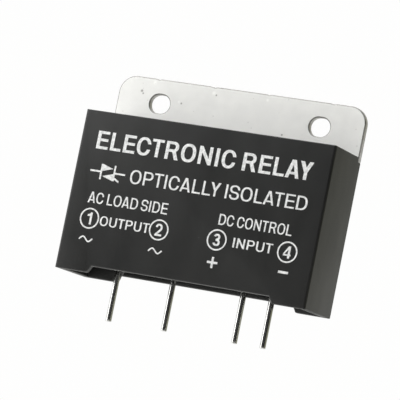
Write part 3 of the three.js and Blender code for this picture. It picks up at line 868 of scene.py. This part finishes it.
def wave(x, z):
    """A little over one period of a wave, drawn as a band of even width."""
    upper, lower = [], []
    for step in range(WAVE_STEPS + 1):
        share = step / WAVE_STEPS - 0.5
        turn = WAVE_TURN * share + math.pi
        along = Vector((WAVE_WIDTH, WAVE_HEIGHT / 2 * WAVE_TURN * math.cos(turn))).normalized()
        across = Vector((-along.y, along.x)) * WAVE_STROKE / 2
        spine = Vector((x + share * WAVE_WIDTH, z + WAVE_HEIGHT / 2 * math.sin(turn)))
        upper.append(tuple(spine + across))
        lower.append(tuple(spine - across))
    return upper + lower[::-1]


def bar(x, z, width, height):
    left, right, low, high = x - width / 2, x + width / 2, z - height / 2, z + height / 2
    return [(left, low), (right, low), (right, high), (left, high)]


def cross(x, z, reach, stroke):
    half = stroke / 2
    quarter = [(half, half), (half, reach), (-half, reach)]
    return [
        (x + u * cos - v * sin, z + u * sin + v * cos)
        for cos, sin in ((1, 0), (0, 1), (-1, 0), (0, -1))
        for u, v in quarter
    ]


# Text, left, right, low and high limits, and stroke.
lines = {
    "print_title": ("ELECTRONIC RELAY", -19.4, 19.3, 20.5, 23.5, 0.53),
    "print_kind": ("OPTICALLY ISOLATED", -12.2, 19.5, 15.6, 17.9, 0.32),
    "print_load": ("AC LOAD SIDE", -18.9, -4.4, 11.45, 13.3, 0.27),
    "print_control": ("DC CONTROL", 4.9, 17.8, 11.2, 13.0, 0.27),
    "print_output": ("OUTPUT", -16.0, -7.0, 7.95, 9.55, 0.25),
    "print_input": ("INPUT", 8.1, 15.1, 7.9, 9.5, 0.25),
}
for name, line in lines.items():
    print_mark(name, *lettering(*line))

RING_RADIUS = 1.75
RING_STROKE = 0.25
DIGIT_HALF_HEIGHT = 1.0
DIGIT_STROKE = 0.37

# Middle of each circled number, and half the number's width.
terminals = [(-17.95, 8.85, 0.42), (-5.25, 8.78, 0.62), (5.2, 8.69, 0.62), (17.69, 8.56, 0.66)]
for number, (x, z, half_width) in enumerate(terminals, start=1):
    low, high = z - DIGIT_HALF_HEIGHT, z + DIGIT_HALF_HEIGHT
    digit = lettering(str(number), x - half_width, x + half_width, low, high, DIGIT_STROKE)
    print_mark(f"print_terminal_{number}", *ring(x, z, RING_RADIUS, RING_STROKE), *digit)

PLUS_REACH = 0.92
PLUS_STROKE = 0.38
MINUS_WIDTH = 1.75
MINUS_STROKE = 0.40

print_mark("print_alternating_1", wave(-17.9, 5.4))
print_mark("print_alternating_2", wave(-5.2, 5.3))
print_mark("print_positive", cross(5.2, 4.95, PLUS_REACH, PLUS_STROKE))
print_mark("print_negative", bar(17.65, 5.25, MINUS_WIDTH, MINUS_STROKE))

SYMBOL_PLACE = (-16.35, 16.8)
SYMBOL_REACH = 3.2  # from the middle to the end of each lead
SYMBOL_HALF_HEIGHT = 1.3
SYMBOL_HALF_GAP = 1.05  # from the middle to each bar
SYMBOL_STROKE = 0.3
SYMBOL_FOOT = 0.12  # the corner of a triangle nearest to the middle line
SYMBOL_CLEAR = 0.16  # between the point of a triangle and the other bar
GATE_TOP = 1.0
GATE_REACH = 0.9
GATE_RISE = 0.5
GATE_THICKNESS = 0.34


def symbol_half(x, z, sign, gate):
    """A lead, its bar and the triangle on it. sign is 1 for the left half and -1 for the right one."""
    half, high, near = SYMBOL_STROKE / 2, SYMBOL_HALF_HEIGHT, SYMBOL_HALF_GAP
    far = near + SYMBOL_STROKE
    points = [(-SYMBOL_REACH, -half), (-far, -half), (-far, -high), (-near, -high), (-near, SYMBOL_FOOT)]
    points += [(near - SYMBOL_CLEAR, (SYMBOL_FOOT + high) / 2), (-near, high), (-far, high)]
    points += gate + [(-far, half), (-SYMBOL_REACH, half)]
    return [(x + sign * u, z + sign * v) for u, v in points]


def triac_symbol(x, z):
    """The circuit symbol of a two-way switch: opposed triangles between bars, with leads and a gate."""
    far = SYMBOL_HALF_GAP + SYMBOL_STROKE
    tip = GATE_TOP + GATE_RISE
    gate = [(-far, GATE_TOP), (-far - GATE_REACH, tip)]
    gate += [(-far - GATE_REACH, tip - GATE_THICKNESS), (-far, GATE_TOP - GATE_THICKNESS)]
    return [symbol_half(x, z, 1, []), symbol_half(x, z, -1, gate)]


print_mark("print_symbol", *triac_symbol(*SYMBOL_PLACE))

# ---------- Finishes for the CAD nodes that stay ----------

slots = {entry["node"]: entry["material_slot"] for entry in frame["record"]["subparts"]}
for node, thing in frame["nodes"].items():
    thing.data.materials.clear()
    thing.data.materials.append(materials[slots[node]])

# ---------- Floor and light ----------

FLOOR_Z = -62
FLOOR_SIZE = 1500


def add_floor():
    bm = bmesh.new()
    bmesh.ops.create_grid(bm, x_segments=8, y_segments=8, size=FLOOR_SIZE / 2 * MM)
    mesh = mesh_from(bm, "floor")
    floor = bpy.data.objects.new("floor", mesh)
    floor.location.z = FLOOR_Z * MM
    bpy.context.scene.collection.objects.link(floor)
    surface = Surface("floor_paper")
    cloud = surface.noise(60, detail=2)
    surface.colour(surface.blend(surface.varied(cloud), (0.80, 0.80, 0.79), (0.84, 0.84, 0.83)))
    surface.roughness(surface.varied(cloud, 0.8, 0.9))
    mesh.materials.append(surface.material)


def add_softbox(name, azimuth, elevation, distance, width, height, radiance):
    """A rectangular light that faces the object. Sizes are in metres."""
    data = bpy.data.lights.new(name, "AREA")
    data.shape = "RECTANGLE"
    data.size = width
    data.size_y = height
    data.energy = radiance * math.pi * width * height
    lamp = bpy.data.objects.new(name, data)
    direction = away_from_object(azimuth, elevation)
    lamp.location = CAMERA_AIM * MM + direction * distance
    lamp.rotation_euler = direction.to_track_quat("Z", "Y").to_euler()
    lamp.visible_camera = False
    bpy.context.scene.collection.objects.link(lamp)


# How bright the room is round the object: azimuth in degrees, where 0 is in front of the print, and colour.
ROOM = [
    (-180, (0.75, 0.75, 0.74)),
    (-120, (1.00, 1.00, 1.00)),
    (-75, (1.00, 1.00, 1.00)),
    (-45, (0.35, 0.35, 0.35)),
    (-25, (0.08, 0.08, 0.08)),
    (62, (0.02, 0.02, 0.02)),
    (90, (0.20, 0.20, 0.15)),
    (145, (0.36, 0.36, 0.27)),
    (180, (0.75, 0.75, 0.74)),
]
BACKDROP = (0.992, 0.992, 0.988)


def add_world():
    """White to the camera. To everything else, a room that is bright on the left and dim in front."""
    world = bpy.data.worlds.new("studio")
    world.use_nodes = True
    tree = world.node_tree

    def link(output, node_input):
        tree.links.new(output, node_input)

    split = tree.nodes.new("ShaderNodeSeparateXYZ")
    link(tree.nodes.new("ShaderNodeTexCoord").outputs["Generated"], split.inputs["Vector"])
    forward = tree.nodes.new("ShaderNodeMath")
    forward.operation = "MULTIPLY"
    forward.inputs[1].default_value = -1
    link(split.outputs["Y"], forward.inputs[0])
    azimuth = tree.nodes.new("ShaderNodeMath")
    azimuth.operation = "ARCTAN2"
    link(split.outputs["X"], azimuth.inputs[0])
    link(forward.outputs[0], azimuth.inputs[1])
    along = tree.nodes.new("ShaderNodeMapRange")
    along.inputs["From Min"].default_value = -math.pi
    along.inputs["From Max"].default_value = math.pi
    link(azimuth.outputs[0], along.inputs["Value"])
    ramp = tree.nodes.new("ShaderNodeValToRGB")
    stops = ramp.color_ramp.elements
    for index, (degrees, colour) in enumerate(ROOM):
        place = (degrees + 180) / 360
        stop = stops[index] if index < 2 else stops.new(place)
        stop.position = place
        stop.color = (*colour, 1)
    link(along.outputs["Result"], ramp.inputs["Fac"])
    room = tree.nodes["Background"]
    link(ramp.outputs["Color"], room.inputs["Color"])
    backdrop = tree.nodes.new("ShaderNodeBackground")
    backdrop.inputs["Color"].default_value = (*BACKDROP, 1)
    mix = tree.nodes.new("ShaderNodeMixShader")
    link(tree.nodes.new("ShaderNodeLightPath").outputs["Is Camera Ray"], mix.inputs["Fac"])
    link(room.outputs["Background"], mix.inputs[1])
    link(backdrop.outputs["Background"], mix.inputs[2])
    link(mix.outputs["Shader"], tree.nodes["World Output"].inputs["Surface"])
    bpy.context.scene.world = world


add_floor()
add_world()
add_softbox("key", azimuth=-42, elevation=49, distance=0.9, width=0.9, height=0.54, radiance=2.95)
add_softbox("strip", azimuth=-52, elevation=-2, distance=0.16, width=0.03, height=0.22, radiance=4.8)
add_softbox("top", azimuth=10, elevation=70, distance=0.7, width=0.7, height=0.5, radiance=1.2)
bpy.context.scene.view_settings.view_transform = "Standard"
